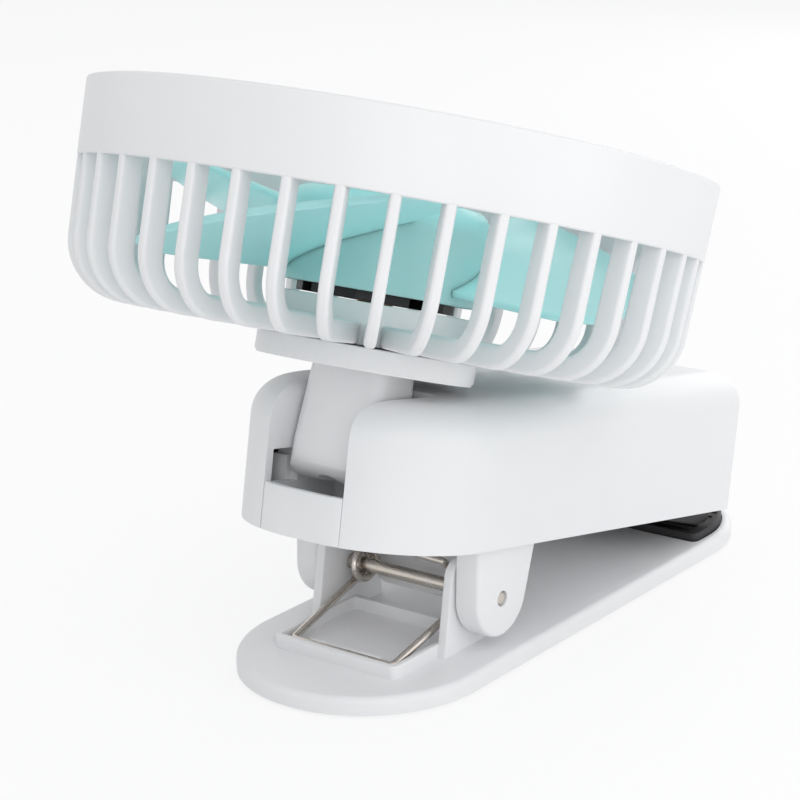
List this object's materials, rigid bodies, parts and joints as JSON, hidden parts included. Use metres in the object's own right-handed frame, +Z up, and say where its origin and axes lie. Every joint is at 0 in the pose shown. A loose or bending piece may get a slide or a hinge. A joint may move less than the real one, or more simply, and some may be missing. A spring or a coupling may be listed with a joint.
{
  "type": "clip fan",
  "caption": "Round caged fan on a folding neck carried by a sprung clamp whose upper jaw is a rounded battery housing.",
  "frame": {"origin": "centre of the clamp hinge pin projected down onto the underside of the base mat, on the mid plane", "axes": "+X towards the tips of the jaws, +Z up from the table, Y along the hinge pin; the head leans 18.6 degrees from +Z towards +X"},
  "size_m": [0.1713, 0.125, 0.1262],
  "materials": {
    "white_plastic": "satin moulded",
    "teal_plastic": "glossy moulded",
    "black_rubber": "matt",
    "nickel_steel": "nickel plated wire and pin",
    "core_steel": "stamped",
    "ferrite": "matt",
    "black_plastic": "moulded",
    "copper_wire": "enamelled wire",
    "bronze": "turned",
    "board": "solder mask",
    "cell_wrap": "shrink wrapped cell",
    "clear_lens": "translucent"
  },
  "bodies": {
    "base": {"lower_jaw": "white_plastic", "base_mat": "black_rubber", "lower_jaw_pad": "black_rubber", "hinge_pin": "nickel_steel", "clamp_spring": "nickel_steel"},
    "clamp_body": {"upper_shell": "white_plastic", "bottom_cover": "white_plastic", "upper_jaw_pad": "black_rubber", "neck_pivot_pin": "nickel_steel", "cover_screw_1": "nickel_steel", "cover_screw_2": "nickel_steel", "cover_screw_3": "nickel_steel", "cover_screw_4": "nickel_steel", "battery": "cell_wrap", "battery_contact_minus": "nickel_steel", "battery_contact_plus": "nickel_steel", "circuit_board": "board", "usb_socket": "nickel_steel", "tact_switch": "black_plastic", "status_led": "clear_lens", "light_pipe": "clear_lens"},
    "power_button": {"power_button": "white_plastic"},
    "head": {"neck_arm": "white_plastic", "mount_disc": "white_plastic", "disc_screw_1": "nickel_steel", "disc_screw_2": "nickel_steel", "disc_screw_3": "nickel_steel", "neck_screw_1": "nickel_steel", "neck_screw_2": "nickel_steel", "rear_cage": "white_plastic", "cage_band": "white_plastic", "front_grille": "white_plastic", "grille_cap": "white_plastic", "bearing_tube": "bronze", "bearing_upper": "bronze", "bearing_lower": "bronze", "stator_core": "core_steel", "bobbin_lower": "black_plastic", "bobbin_upper": "black_plastic", "winding_1": "copper_wire", "winding_2": "copper_wire", "winding_3": "copper_wire", "winding_4": "copper_wire", "motor_board": "board"},
    "rotor": {"fan_blades": "teal_plastic", "rotor_yoke": "nickel_steel", "magnet_ring": "ferrite", "motor_shaft": "nickel_steel"}
  },
  "joints": [
    {"name": "clamp_open", "type": "hinge", "parent": "base", "child": "clamp_body", "pos_m": [0, 0, 0.01464], "axis": [0, -1, 0], "range_deg": [0, 40], "stiffness_Nm_per_rad": 0.85, "springref_deg": -60.16, "deforming": ["clamp_spring"]},
    {"name": "neck_tilt", "type": "hinge", "parent": "clamp_body", "child": "head", "pos_m": [-0.01808, 0, 0.04736], "axis": [0, -1, 0], "range_deg": [0, 90]},
    {"name": "fan_spin", "type": "hinge", "parent": "head", "child": "rotor", "pos_m": [0.00176, 0, 0.10632], "axis": [0.319, 0, 0.9478], "continuous": true},
    {"name": "button_press", "type": "slide", "parent": "clamp_body", "child": "power_button", "axis": [0, -1, 0], "range_m": [0, 0.0005], "stiffness_N_per_m": 900, "springref_m": -0.0008}
  ]
}
